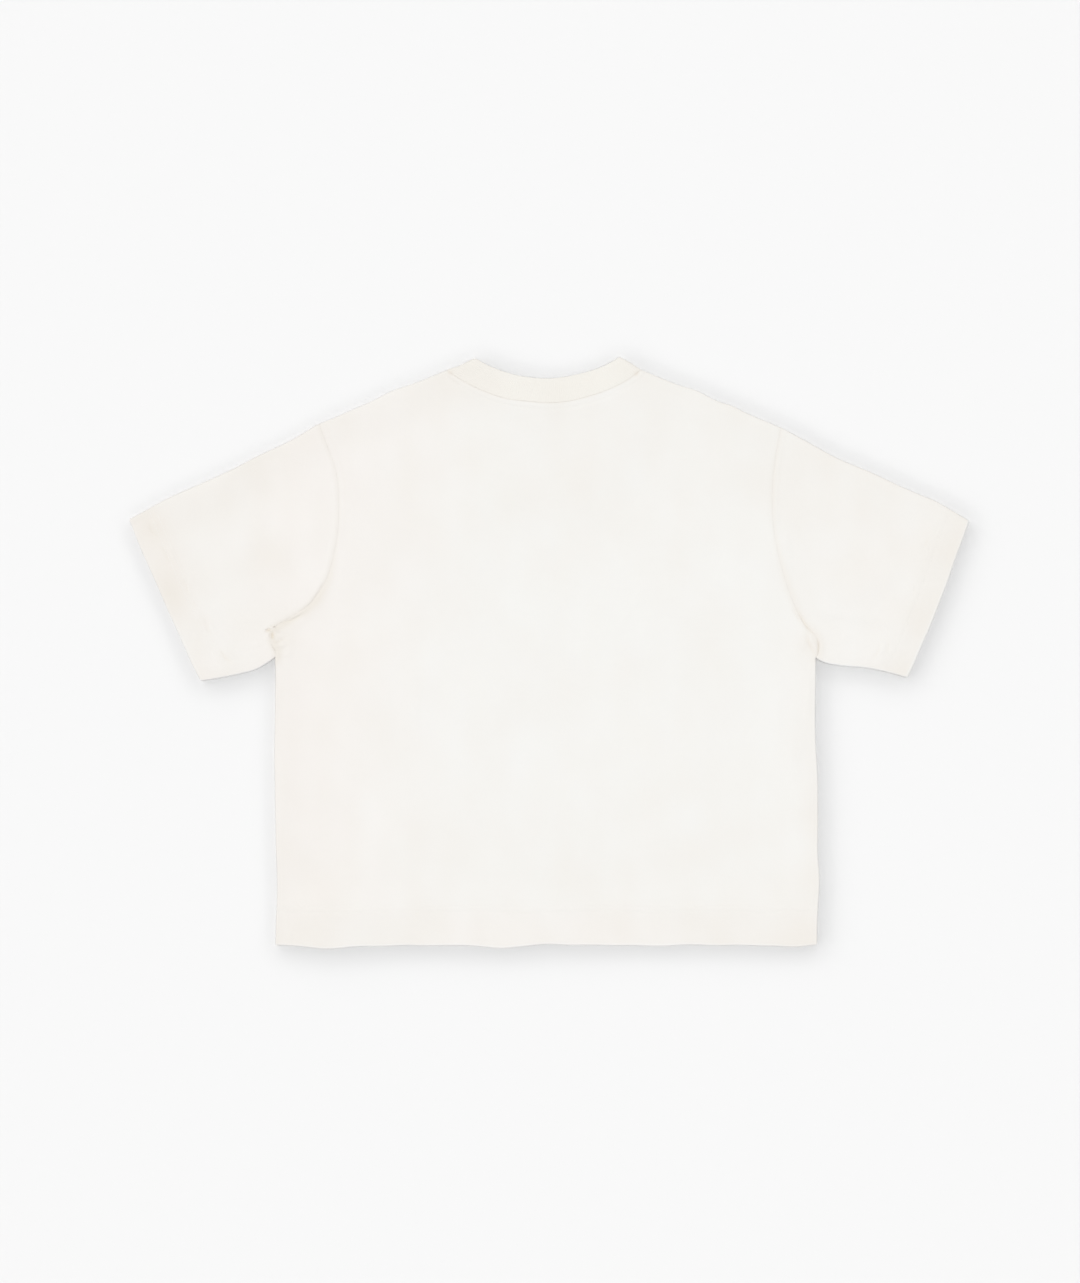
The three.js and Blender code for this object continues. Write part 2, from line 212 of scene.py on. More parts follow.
ARMHOLES = {n: spline([s["armpit"], *s["armhole"], s["tip"]]) for n, s in SIDES.items()}
SLEEVE_TOPS = {n: spline([s["tip"], *s["sleeve_top"], s["cuff_top"]]) for n, s in SIDES.items()}
UNDERARMS = {n: spline([s["cuff_low"], *s["underarm"], s["armpit"]]) for n, s in SIDES.items()}
CUFFS = {n: cuff_curve(s) for n, s in SIDES.items()}
NECK_SEAMS = {
    "upper": scoop(LEFT["neck"], RIGHT["neck"], drop=34, fullness=0.49),
    "lower": scoop(LEFT["neck"], RIGHT["neck"], drop=95, fullness=0.55),
}
NECK_EDGES = {
    "upper": scoop(LEFT["peak"], RIGHT["peak"], drop=21, fullness=0.5),
    "lower": scoop(LEFT["peak"], RIGHT["peak"], drop=82, fullness=0.6),
}
# Each runs with the cloth on its left.
FOLDED_EDGES = [
    np.concatenate([[RIGHT["hem"]], UNDERARMS["right"].points[::-1]]),
    np.concatenate([SLEEVE_TOPS["right"].points[::-1], [RIGHT["neck"], RIGHT["peak"]]]),
    np.concatenate([[LEFT["peak"], LEFT["neck"]], SLEEVE_TOPS["left"].points]),
    np.concatenate([UNDERARMS["left"].points, [LEFT["hem"]]]),
]
SEWN_EDGES = (0, 3)  # a sleeve's top is only folded, and the rest of its edge is sewn


def nearest(points, line):
    """The distance of each point to a polyline, how far along it that is, and on which side (+1 left)."""
    least = np.full(len(points), np.inf)
    along = np.zeros(len(points))
    side = np.ones(len(points))
    done = 0.0
    for a, b in zip(line[:-1], line[1:]):
        way = b - a
        length = np.linalg.norm(way)
        offset = points - a
        share = np.clip(offset @ way / length**2, 0, 1)
        distance = np.linalg.norm(offset - share[:, None] * way, axis=1)
        closer = distance < least
        least[closer] = distance[closer]
        along[closer] = (done + share * length)[closer]
        turn = way[0] * offset[:, 1] - way[1] * offset[:, 0]
        side[closer] = np.where(turn < 0, -1, 1)[closer]
        done += length
    return least, along, side


def nearest_fold(points):
    """The distance to the nearest folded edge, the way in from it, and which of the edges it is."""
    on_edge = 0.02
    least = np.full(len(points), np.inf)
    inward = np.zeros((len(points), 2))
    which = np.zeros(len(points), int)
    for number, edge in enumerate(FOLDED_EDGES):
        for a, b in zip(edge[:-1], edge[1:]):
            way = b - a
            share = np.clip((points - a) @ way / (way @ way), 0, 1)
            away = points - a - share[:, None] * way
            distance = np.linalg.norm(away, axis=1)
            distance[distance < on_edge] = 0
            way_in = np.where(distance[:, None] > 0, unit(away), left_of(unit(way)))
            equal = distance == least
            inward[equal] += way_in[equal]
            closer = distance < least
            inward[closer] = way_in[closer]
            which[closer] = number
            least[closer] = distance[closer]
    return least, unit(inward), which


# ---- Creases ----
FOLD_CLEAR = 9
GATHER_CLEAR = 2
FAINT_HEIGHTS = (0.08, 0.3)


class Ridge:
    """A soft ridge through plan points, or a groove where its height is below zero."""

    def __init__(self, height, left, right, *points):
        self.height, self.left, self.right = height, left, right
        self.curve = spline(points, 8)


def ridges(*rows):
    """Each row has a height, the spreads to the left and right of its way, and its points."""
    return [Ridge(*row) for row in rows]


CREASES = ridges(
    (0.9, 16, 20, (-268, 500), (-266, 440), (-262, 385)),
    (0.45, 6, 8, (-246, 478), (-243, 430), (-247, 402)),
    (0.5, 12, 16, (-300, 470), (-309, 420), (-330, 372)),
    (0.9, 14, 20, (392, 400), (342, 378), (292, 352)),
    (0.7, 5, 9, (366, 334), (320, 339), (268, 351)),
    (0.5, 4, 5, (338, 284), (345, 291), (349, 301)),
    (0.5, 5, 6, (250, 430), (249, 410), (256, 380)),
    (0.8, 12, 9, (241, 300), (240, 240), (243, 170)),
    (0.5, 3.5, 5, (242, 262), (241, 235), (244, 208)),
    (0.7, 9, 10, (259, 262), (256, 200), (255, 120)),
    (0.5, 3.5, 5, (255, 212), (254, 186), (256, 158)),
    (0.6, 4, 4, (272, 288), (273, 262), (271, 234)),
    (0.7, 16, 16, (-136, 320), (-134, 250), (-140, 190)),
    (0.3, 5, 6, (-135, 306), (-134, 254), (-137, 200)),
    (0.45, 8, 10, (-166, 286), (-167, 240), (-172, 196)),
    (0.45, 3.5, 5, (-252, 38), (-236, 26), (-218, 13)),
    (0.5, 2.5, 3, (-276, 42), (-264, 40), (-252, 35)),
    (0.35, 22, 26, (40, 470), (52, 400), (46, 330)),
    (0.3, 18, 14, (-60, 180), (-20, 150), (34, 138)),
    (0.3, 16, 24, (120, 300), (150, 240), (160, 170)),
)
# Gathers round the armpits and the neck's ends, which the fading near a folded edge leaves alone.
GATHERS = ridges(
    (0.8, 1.6, 1.4, (-247, 348), (-257, 342.5), (-266, 338)),
    (0.6, 5, 3, (-236, 350), (-254, 335), (-270, 328)),
    (0.9, 1.5, 1.3, (-284, 327.5), (-279, 326.5), (-273, 323)),
    (0.8, 1.5, 1.5, (-287, 321.5), (-284.8, 321.3)),
    (0.8, 1.6, 1.6, (-280, 320), (-275, 319.5), (-269, 321)),
    (0.9, 1.8, 1.5, (-279.5, 310.5), (-274, 309.5), (-267, 312)),
    (0.5, 2.5, 2, (-275, 303), (-270, 301), (-262, 303)),
    (0.5, 4, 5, (-260, 326), (-264, 311), (-267, 290)),
    (0.4, 2.4, 4, (-292, 332), (-301, 335), (-318, 336)),
    (0.4, 2.4, 3.4, (-289, 316), (-300, 311), (-314, 309)),
    (0.6, 1.5, 1.6, (259, 347), (264, 338), (270, 327)),
    (0.4, 1.9, 1.7, (274, 322), (276, 315), (279, 309)),
    (0.5, 3.2, 2.6, (263, 322), (266, 311), (271, 300)),
    (0.3, 1.6, 2.2, (285.8, 317), (287, 309), (285, 301)),
    (0.35, 3, 4, (292, 320), (304, 318), (318, 322)),
    (0.5, 2, 2.4, (-406, 441), (-402, 432), (-397, 425)),
    (0.5, 1.8, 2.4, (-389, 415), (-385, 404), (-380, 397)),
    (0.4, 2, 2, (-368, 382), (-364, 372)),
    (0.5, 1.8, 2.2, (-347, 337), (-342, 326)),
    (0.6, 1.8, 2.2, (-331, 307), (-326, 300), (-318, 296)),
    (0.7, 2, 1.6, (351, 315), (348, 305), (342, 297)),
    (0.4, 1.8, 2, (389, 419), (386, 407)),
    (0.3, 2, 2.2, (376, 374), (372, 361)),
    (0.5, 1.6, 2.2, (-104, 595), (-98, 588), (-92, 584)),
    (0.4, 2.2, 1.6, (101, 594), (97, 587), (92, 583)),
)
# Where the cloth is pulled in between them, and is darkened with painted shade as deep as it sinks.
GROOVES = ridges(
    (-0.5, 1.6, 0.9, (-228.5, 379), (-232.5, 371), (-237, 363.5), (-242, 357)),
    (-0.6, 1.5, 1.1, (-249, 344), (-258, 339), (-266, 335.2), (-276, 333.3)),
    (-0.6, 0.9, 0.9, (-287, 329.5), (-281, 330), (-275, 327)),
    (-2.0, 1.6, 1.5, (-290, 324.3), (-286.5, 326.3), (-283.3, 325.6)),
    (-1.7, 1.2, 1.2, (-282.4, 325), (-281.8, 320), (-281, 316)),
    (-0.9, 1.0, 1.0, (-281, 314.6), (-276, 313.8), (-269.5, 317.5)),
    (-0.6, 1.0, 1.0, (-283, 311), (-279.6, 306), (-278.4, 302.5)),
    (-0.5, 1.2, 1.2, (255.5, 350), (260, 341), (264, 334)),
    (-0.9, 1.4, 1.6, (258, 351), (265, 339), (270, 331), (279, 321.5)),
    (-0.8, 1.6, 1.4, (270.5, 325), (271.5, 316), (277, 305), (279.5, 300)),
    (-0.9, 1.2, 1.2, (281, 320), (282.6, 312), (282, 304), (280.4, 299.5)),
    (-0.6, 1.6, 1.4, (-411, 438), (-408, 430), (-402, 423)),
    (-0.5, 1.5, 1.5, (-396, 414), (-392, 404), (-386, 396)),
    (-0.4, 1.3, 1.5, (-375, 381), (-371, 372), (-368, 363)),
    (-0.3, 1.3, 1.3, (-364, 357), (-361, 348)),
    (-0.5, 1.4, 1.6, (-353, 339), (-349, 328), (-344, 319)),
    (-0.7, 1.6, 1.4, (-337, 307), (-332, 298), (-325, 292)),
    (-0.4, 1.4, 1.4, (346, 313), (343, 303), (337, 295)),
    (-0.4, 1.4, 1.4, (356, 317), (352, 303)),
    (-0.4, 1.3, 1.5, (396, 421), (392, 411)),
    (-0.3, 1.5, 1.3, (383, 373), (380, 362)),
    (-0.3, 1.3, 1.3, (-101, 590), (-95, 584.5), (-88, 579)),
)


def ridge_heights(points, some_ridges):
    """The summed height of ridges that die away sideways and at both ends."""
    height = np.zeros(len(points))
    for ridge in some_ridges:
        line = ridge.curve.points
        margin = 2.6 * max(ridge.left, ridge.right)
        near = ((points > line.min(0) - margin) & (points < line.max(0) + margin)).all(1)
        if not near.any():
            continue
        distance, along, side = nearest(points[near], line)
        share = along / ridge.curve.length
        taper = smooth(share, -0.1, 0.4) * (1 - smooth(share, 0.6, 1.1))
        height[near] += ridge.height * taper * dip(distance, np.where(side > 0, ridge.left, ridge.right))
    return height


def stray_ridge():
    """A faint short crease or groove anywhere, as pressed cloth keeps."""
    place = np.array([RANDOM.uniform(-400, 400), RANDOM.uniform(20, 570)])
    turn = RANDOM.normal(math.pi / 2, 0.7)
    reach = RANDOM.uniform(18, 75)
    bend = RANDOM.normal(0, 0.12) * reach
    way = np.array([math.cos(turn), math.sin(turn)])
    spread = RANDOM.uniform(4, 13)
    height = RANDOM.uniform(*FAINT_HEIGHTS) * RANDOM.choice([-0.6, 1])
    other_spread = spread * RANDOM.uniform(0.6, 1.6)
    through = (place - reach * way, place + bend * left_of(way), place + reach * way)
    return Ridge(height, spread, other_spread, *through)


STRAYS = [stray_ridge() for _ in range(110)]


def waves(count, longest, shortest):
    """Plane waves of random length and direction: rows of (wave vector x, y, phase)."""
    length = np.exp(RANDOM.uniform(math.log(shortest), math.log(longest), count))
    turn, phase = RANDOM.uniform(0, 2 * math.pi, (2, count))
    return np.stack([2 * math.pi / length * np.cos(turn), 2 * math.pi / length * np.sin(turn), phase], 1)


def wave_sum(points, table):
    """Their sum, scaled to a typical height of 1."""
    return sum(np.cos(points @ row[:2] + row[2]) for row in table) * math.sqrt(2 / len(table))


BROAD = waves(18, 260, 85)
FINE = waves(40, 24, 7)
WARP_X, WARP_Y = waves(8, 160, 45), waves(8, 160, 45)
BROAD_HEIGHT = 0.28
WARP, HEM_WARP = 0.3, 0.35
# Where the outline wanders from the cut: a place, how far round it the pull reaches, and its move.
PULLS = [
    ((280, 55), 48, (2.5, 0)), ((280, 72), 18, (1.2, 0)), ((280, 150), 50, (2.4, 0)),
    ((280, 222), 30, (-1, 0)), ((-280, 65), 55, (1.9, 0)), ((-280, 180), 48, (-0.3, 0)),
    ((-302, 288), 20, (0, -1.4)), ((306, 290), 32, (0, -2)), ((-333, 490), 42, (0.5, -1.1)),
    ((298, 507), 24, (-0.6, -1.3)), ((-36, 576), 15, (0, -1.6)), ((-226, 0), 40, (0, -2.4)),
    ((-48, 0), 18, (0, -2.4)), ((2, 0), 22, (0, 1.8)), ((256, 0), 15, (0, -1.8)),
    ((156, 575), 15, (0.8, 2.2)), ((194, 558), 10, (0.6, 1.5)), ((-161, 573), 15, (-0.7, 1.5)),
    ((-89, 600), 8, (0.5, -1.4)),
]
HEM_WAVES = {layer: waves(6, 150, 40) for layer in LAYERS}

# ---- The smooth form ----
# The left sleeve's edge stands up along the lower part of its armhole, and the body sinks beside it.
LIP_STEP = 0.22
LIP_UNDER = 0.5
LIP_SINK = 0.3
LIP_LEAN = 0.5
LIP_START, LIP_END = (26, 60), (92, 135)  # along the armhole


def past_hem(points):
    """How far each point lies in from the nearest turned edge, less the depth of its hem."""
    past = points[:, 1] - HEM_DEPTH
    for cuff in CUFFS.values():
        past = np.minimum(past, nearest(points, cuff.points)[0] - CUFF_DEPTH)
    return past


def raised(points, fold_distance, past):
    """1 over folded edges, hems and collar, and 0 in the middle of a panel."""
    at_edge = 1 - smooth(fold_distance, ROLL, EDGE_FADE)
    at_hem = 0.88 * (1 - smooth(past, 0, HEM_FADE)) + 0.12 * (1 - smooth(past, -1, 4))
    at_collar = 1 - smooth(np.linalg.norm(points - COLLAR_MIDDLE, axis=1), 85, 140)
    return 1 - (1 - at_edge) * (1 - at_hem) * (1 - at_collar)


def lip_places(points):
    """How far each point is from the left armhole, where along it, and how much of the lip it has."""
    distance, along, _ = nearest(points, ARMHOLES["left"].points)
    return distance, along, smooth(along, *LIP_START) * (1 - smooth(along, *LIP_END))


def lip_height(points, piece):
    distance, _, taper = lip_places(points)
    if piece == "left_sleeve":
        edge = 1 - dip(distance, 1.0)
        return taper * (LIP_UNDER + LIP_STEP * edge) * dip(distance, 22)
    return taper * (LIP_UNDER * dip(distance, 9) - LIP_SINK * dip(distance - 1, 3.4))


def upper_top(points, fold_distance, past, piece):
    """Height of the upper layer before it rolls over at a folded edge."""
    middle = LOFT + BROAD_HEIGHT * wave_sum(points, BROAD) + ridge_heights(points, STRAYS)
    top = middle + (FULL_HEIGHT - LOFT) * raised(points, fold_distance, past)
    top += ridge_heights(points, CREASES)
    clear = smooth(fold_distance, 0, FOLD_CLEAR)
    top = np.maximum(FULL_HEIGHT + (top - FULL_HEIGHT) * clear, LEAST_LOFT)
    gathers = ridge_heights(points, GATHERS) + ridge_heights(points, GROOVES)
    return top + (gathers + lip_height(points, piece)) * smooth(fold_distance, 0, GATHER_CLEAR)


class Cloth:
    """Points of a layer's smooth form, with the way out of its outer face."""

    def __init__(self, layer, piece, plan):
        self.layer = layer
        self.up = 1 if layer == "upper" else -1
        self.shape = plan.shape[:-1]
        self.plan = plan.reshape(-1, 2)
        self.fold, inward, which = nearest_fold(self.plan)
        self.past = past_hem(self.plan)
        self.at_hem = self.plan[:, 1] < HEM_ZONE
        self.edge = self.past + np.where(self.at_hem, HEM_DEPTH, CUFF_DEPTH)
        rolled = np.maximum(0, 1 - self.fold / ROLL_REACH)
        self.sine = np.sqrt(1 - rolled**2)
        if layer == "upper":
            top = upper_top(self.plan, self.fold, self.past, piece)
            height = ROLL + (top - ROLL) * self.sine
        else:
            height = ROLL * (1 - self.sine)
        self.points = np.column_stack([self.plan, height])
        out = -inward * rolled[:, None] / ROLL_REACH
        self.roll_out = unit(np.column_stack([out, self.up * self.sine / ROLL]))
        self.lee = np.maximum(0, -inward @ LEE)
        self.sewn_fold = np.isin(which, SEWN_EDGES) | ("sleeve" not in piece)
        self.thickness = CLOTH + (DOUBLE - CLOTH) * (1 - smooth(self.past, -2, 1))


def warped(points, layer):
    """The whole shirt's outline wanders a little, and each layer's hem by itself."""
    moved = points.copy()
    plan = points[:, :2]
    moved[:, 0] += WARP * wave_sum(plan, WARP_X)
    moved[:, 1] += WARP * wave_sum(plan, WARP_Y)
    for place, reach, move in PULLS:
        moved[:, :2] += spot(plan, place, reach)[:, None] * move
    low = 1 - smooth(points[:, 1], 0, HEM_ZONE)
    moved[:, 1] += HEM_WARP * wave_sum(plan, HEM_WAVES[layer]) * low
    return moved


# ---- Relief ----
DENT_WIDTH = 0.9  # of the dent along a line of stitches or a sewn fold
FOLD_DENT, HEM_DENT, CUFF_DENT, NECK_DENT = 0.3, 0.2, 0.1, 0.25
SEAM_DENT, SEAM_DENT_WIDTH = 0.16, 3.4
BODY_ALLOWANCE, SLEEVE_ALLOWANCE = 0.1, 0.2  # how far a seam's turnings lift the cloth
ALLOWANCE_AT, ALLOWANCE_WIDTH = 4, 2.6
# The puckered rise just inside the stitches of a hem.
PUCKER_LIFT, PUCKER_HEIGHT = 0.1, 0.07
PUCKER_AT, PUCKER_WIDTH = -3.2, 2.4
ROPING = 0.05  # height of the slanting waves in a turned hem
FUZZ = 0.035
SIDE_SEAM = spline([(-262.5, 0), (-263.5, 22), (-267, 38), (-276, 52)])
SIDE_SEAM_END = (30, 52)  # where it fades, along it


def seam_distances(cloth):
    """How far each point is from the nearest armhole, and from the neck seam."""
    armholes = [nearest(cloth.plan, a.points)[0] for a in ARMHOLES.values()]
    return np.min(armholes, axis=0), nearest(cloth.plan, NECK_SEAMS[cloth.layer].points)[0]


def turned_edge(distance, radius):
    turned = np.minimum(distance / radius, 1)
    return radius * (np.sqrt(1 - (1 - turned) ** 2) - 1)


def wavering(phase, along, sway, length):
    """A sine wave whose phase sways as it goes along."""
    return np.sin(phase + sway * np.sin(along / length))


def relief(cloth, is_body):
    """How far each point moves out along the cloth's way out."""
    plan, past, at_hem = cloth.plan, cloth.past, cloth.at_hem
    armhole, neck = seam_distances(cloth)
    seam = np.minimum(armhole, neck)
    out = turned_edge(armhole, ARMHOLE_ROUND) + turned_edge(neck, NECK_ROUND)
    round_fold = ROLL * np.arcsin(cloth.sine)
    out -= FOLD_DENT * dip(round_fold, DENT_WIDTH) * cloth.sewn_fold
    for place in HEM_STITCHES:
        out -= HEM_DENT * dip(cloth.edge - place, DENT_WIDTH) * at_hem
    for place in CUFF_STITCHES:
        out -= CUFF_DENT * dip(cloth.edge - place, DENT_WIDTH) * ~at_hem
    if is_body:
        out -= NECK_DENT * dip(neck - NECK_STITCH, DENT_WIDTH)
    if cloth.layer == "lower":
        return out
    allowance = BODY_ALLOWANCE if is_body else SLEEVE_ALLOWANCE
    out += allowance * dip(seam - ALLOWANCE_AT, ALLOWANCE_WIDTH) - SEAM_DENT * dip(seam, SEAM_DENT_WIDTH)
    along = np.where(at_hem, plan[:, 0], plan[:, 1])
    pucker = wavering(along / 1.35, along, 1.7, 23) * np.sin(along / 6.1 + 0.9)
    out += dip(past - PUCKER_AT, PUCKER_WIDTH) * (PUCKER_LIFT + PUCKER_HEIGHT * pucker)
    band = smooth(-past, -5, 0) * (0.5 + 0.5 * wavering(along / 17, along, 2, 61))
    out += ROPING * band * wavering(along / 2.6 + 0.12 * past, along, 1.3, 31)
    out += FUZZ * wave_sum(plan, FINE) * smooth(cloth.fold, 0, FOLD_CLEAR)
    if is_body:
        out += side_seam(plan)
    return out


def side_seam(plan):
    """The left side seam, which is turned on to the back in the hem."""
    distance, along, side = nearest(plan, SIDE_SEAM.points)
    there = 1 - smooth(along, *SIDE_SEAM_END)
    return there * (np.where(side > 0, 0.25 * dip(distance, 7), 0) - 0.4 * dip(distance, 1.1))


# ---- Grids ----
EDGE_STEP = 0.22  # the first step of a grid at a seam
NECK_END_STEP = 0.5
PAST_STITCHES = 6  # how far past a hem's stitches its steps stay close
PIT_REACH = 55  # how far up an armhole its steps stay close
GROWTH = 0.13  # what a step may gain for each millimetre from a close stretch


def spaced(length, most, start, end, close=(0, 0, math.inf)):
    """Shares of a length at most a step apart, with its first and last steps, and closer in a stretch."""
    places = np.linspace(0, length, 4001)
    low, high, least = close
    outside = np.maximum(0, np.maximum(low - places, places - high))
    limits = (start + GROWTH * places, end + GROWTH * (length - places), least + GROWTH * outside)
    step = np.minimum(most, np.min(limits, axis=0))
    count = np.concatenate([[0], np.cumsum(np.diff(places) * 2 / (step[1:] + step[:-1]))])
    return np.interp(np.linspace(0, count[-1], round(count[-1]) + 1), count, places) / length


def inset(shares, length):
    """The same shares of what is left past the round of a turned edge, half its thickness deep."""
    first = DOUBLE / 2 / length
    return first + (1 - first) * shares


def coons(rows, columns, left, right, bottom, top):
    """A grid of plan points between four edges. Its first row may lie in from the bottom edge."""
    u, v = columns[None, :, None], rows[:, None, None]
    across = left[:, None] * (1 - u) + right[:, None] * u
    up = bottom[None] * (1 - v) + top[None] * v
    corners = (bottom[0] * (1 - u) + bottom[-1] * u) * (1 - v) + (top[0] * (1 - u) + top[-1] * u) * v
    return across + up - corners


def joined(*runs):
    """Runs of points end to end, with no point twice."""
    return np.concatenate([runs[0], *[run[1:] for run in runs[1:]]])


def seam_edge(curve, shares, side):
    """A seam's points, moved half its gap to the left or the right, but for its ends."""
    between_ends = ((shares > 0) & (shares < 1))[:, None]
    return curve.at(shares) + between_ends * side * SEAM_GAP / 2 * left_of(curve.ways(shares))


def panel_plan(layer, step, hem_step, pit_step):
    armhole_length = ARMHOLES["right"].length
    near_hem = (0, HEM_DEPTH + PAST_STITCHES, hem_step)
    up_side = inset(spaced(ARMPIT_Y, step, hem_step, pit_step, close=near_hem), ARMPIT_Y)
    near_pit = (0, PIT_REACH, pit_step)
    up_armhole = spaced(armhole_length, min(step, SEAM_STEP), pit_step, 0.25, close=near_pit)
    side_share = ARMPIT_Y / (ARMPIT_Y + armhole_length)
    rows = joined(up_side * side_share, side_share + up_armhole * (1 - side_share))
    rows = (rows - rows[0]) / (rows[-1] - rows[0])

    def edge(name, side):
        below = Curve([SIDES[name]["hem"], SIDES[name]["armpit"]]).at(up_side)
        return joined(below, seam_edge(ARMHOLES[name], up_armhole, side))

    left, right = edge("left", -1), edge("right", 1)
    from_tip = spaced(math.dist(RIGHT["tip"], RIGHT["neck"]), step, EDGE_STEP, NECK_END_STEP)
    along_neck = spaced(NECK_SEAMS[layer].length, SEAM_STEP, NECK_END_STEP, NECK_END_STEP)
    start, end = [(s["neck"][0] + HALF_CHEST) / (2 * HALF_CHEST) for s in (LEFT, RIGHT)]
    columns = joined(from_tip * start, start + along_neck * (end - start), 1 - from_tip[::-1] * (1 - end))
    neck = seam_edge(NECK_SEAMS[layer], along_neck, -1)
    to_left, to_right = Curve([left[-1], neck[0]]), Curve([right[-1], neck[-1]])
    top = joined(to_left.at(from_tip), neck, to_right.at(from_tip)[::-1])
    return coons(rows, columns, left, right, Curve([left[0], right[0]]).at(columns), top)


def sleeve_plan(name, step, cuff_step, pit_step):
    """Rows from the cuff to the armhole, columns from the underarm to the top edge."""
    away = 1 if name == "left" else -1
    length, near_pit = ARMHOLES[name].length, (3, PIT_REACH, pit_step)
    across = spaced(length, min(step, SEAM_STEP), EDGE_STEP, EDGE_STEP, close=near_pit)
    top_curve = SLEEVE_TOPS[name]
    length = top_curve.length
    near_cuff = (0, CUFF_DEPTH + PAST_STITCHES, cuff_step)
    rows = inset(spaced(length, step, cuff_step, EDGE_STEP, close=near_cuff), length)
    cuff = CUFFS[name].at(across**0.8)
    armhole = seam_edge(ARMHOLES[name], across, away)
    return coons(rows, across, UNDERARMS[name].at(rows), top_curve.at(1 - rows), cuff, armhole)


# ---- Shells ----
SHARP_ANGLE = math.radians(62)
TONES = ("blush", "depth")  # what each point carries for its material; its depth holds painted shade and painted light as well as tone


def ways_out(form, cloth):
    """The way out of a layer's face: from its neighbours, or level with the roll at a folded edge."""
    ways = unit(np.cross(np.gradient(form, axis=1), np.gradient(form, axis=0)))
    ways *= np.where(ways[..., 2:] * cloth.up < 0, -1, 1)
    flat = smooth(cloth.fold, 0.6 * ROLL_REACH, 1.2 * ROLL_REACH)[:, None]
    return unit(ways.reshape(-1, 3) * flat + cloth.roll_out * (1 - flat))


def faces_of(cloth, is_body, shift):
    """A layer's outer and inner faces, as grids of points."""
    form = cloth.points + shift
    ways = ways_out(form.reshape(*cloth.shape, 3), cloth)
    outer = warped(form + ways * relief(cloth, is_body)[:, None], cloth.layer)
    inner = warped(form - ways * cloth.thickness[:, None], cloth.layer)
    return outer.reshape(*cloth.shape, 3), inner.reshape(*cloth.shape, 3)


def round_edge(outer, inner, steps=4):
    """Half circles from the outer face's first row to the inner face's."""
    middle = (outer[0] + inner[0]) / 2
    up = (outer[0] - inner[0]) / 2
    upright = unit(up)
    out = outer[0] - outer[1]
    out = unit(out - (out * upright).sum(-1, keepdims=True) * upright)
    out *= np.linalg.norm(up, axis=-1, keepdims=True)
    turns = np.linspace(0, math.pi, steps + 2)[1:-1]
    return np.stack([middle + up * math.cos(t) + out * math.sin(t) for t in turns])


def placed(name, data):
    """A new object in the scene."""
    thing = bpy.data.objects.new(name, data)
    bpy.context.scene.collection.objects.link(thing)
    return thing


def build_mesh(name, points, faces, grain, tones, material):
    """A mesh from points in garment millimetres. grain is None or a place for each face corner."""
    mesh = bpy.data.meshes.new(name)
    mesh.from_pydata(((points + ORIGIN) * MM).tolist(), [], faces)
    if grain is not None:
        layer = mesh.uv_layers.new(name="grain")
        layer.data.foreach_set("uv", (np.asarray(grain, np.float32) * MM).ravel())
    for tone, values in zip(TONES, np.asarray(tones, np.float32).T):
        attribute = mesh.attributes.new(tone, "FLOAT", "POINT")
        attribute.data.foreach_set("value", np.ascontiguousarray(values))
    mesh.materials.append(material)
    mesh.shade_smooth()
    mesh.set_sharp_from_angle(angle=SHARP_ANGLE)
    return placed(name, mesh)


def signed_volume(points, faces):
    total = 0.0
    for size in {len(f) for f in faces}:
        corners = points[np.array([f for f in faces if len(f) == size])]
        for k in range(1, size - 1):
            total += (corners[:, 0] * np.cross(corners[:, k], corners[:, k + 1])).sum()
    return total / 6


def shell(name, outer, inner, grain, tones, material, is_ring):
    """A closed shell. Row 0 of both faces is joined by a round edge, and their last rows by a flat one."""
    rows, columns = outer.shape[:2]
    arc = round_edge(outer, inner)
    loop = np.concatenate([outer[::-1], arc, inner])
    count = len(loop)
    row_of = np.concatenate([np.arange(rows)[::-1], np.zeros(len(arc), int), np.arange(rows)])
    spans = columns if is_ring else columns - 1
    i, j = (k.ravel() for k in np.meshgrid(np.arange(count), np.arange(spans), indexing="ij"))
    corner_rows = list(np.stack([i, i, i + 1, i + 1], -1) % count)
    corner_columns = list(np.stack([j, j + 1, j + 1, j], -1))
    if not is_ring:
        caps = [np.array([k, k + 1, count - 2 - k, count - 1 - k]) for k in range(rows - 1)]
        caps.append(np.arange(rows - 1, rows + len(arc) + 1))
        for column, turn in ((0, 1), (columns - 1, -1)):
            corner_rows += [cap[::turn] for cap in caps]
            corner_columns += [np.full(len(cap), column) for cap in caps]
    faces = [(r * columns + c % columns).tolist() for r, c in zip(corner_rows, corner_columns)]
    corners = grain[row_of[np.concatenate(corner_rows)], np.concatenate(corner_columns)]
    points = loop.reshape(-1, 3)
    if signed_volume(points, faces) < 0:
        faces = [face[::-1] for face in faces[::-1]]
        corners = corners[::-1]
    return build_mesh(name, points, faces, corners, tones[row_of].reshape(-1, 2), material)


PATCHES = waves(24, 190, 30)
# Places with another tone; those at the armpits, along the left sleeve's lip, in the left underarm's
# grooves and at the neck's ends are painted shade of the folds and gathers there. Each has how far round
# it reaches, its blush and its depth.
TONE_AND_SHADE_SPOTS = [
    ((-271, 316), 11, 0, 0.35), ((-247, 345), 7, 0, 0.25), ((-235, 356), 8, 0, 0.2),
    ((-286, 325.6), 2.6, 0, 0.3), ((-282, 320.5), 2.0, 0, 0.35), ((-404, 430), 13, 0.3, 0.12),
    ((-390, 398), 14, 0.35, 0.12), ((-385, 370), 18, 0.3, 0.05), ((-368, 320), 22, -0.3, -0.1),
    ((-352, 335), 8, 0.2, 0.1), ((-330, 298), 8, 0, 0.15), ((274, 313), 12, 0, 0.25),
    ((400, 400), 24, 0, 0.12), ((385, 350), 20, 0, 0.08), ((-98, 594), 3.2, 0, 0.6),
    ((94, 591.5), 3.2, 0, 0.6),
]
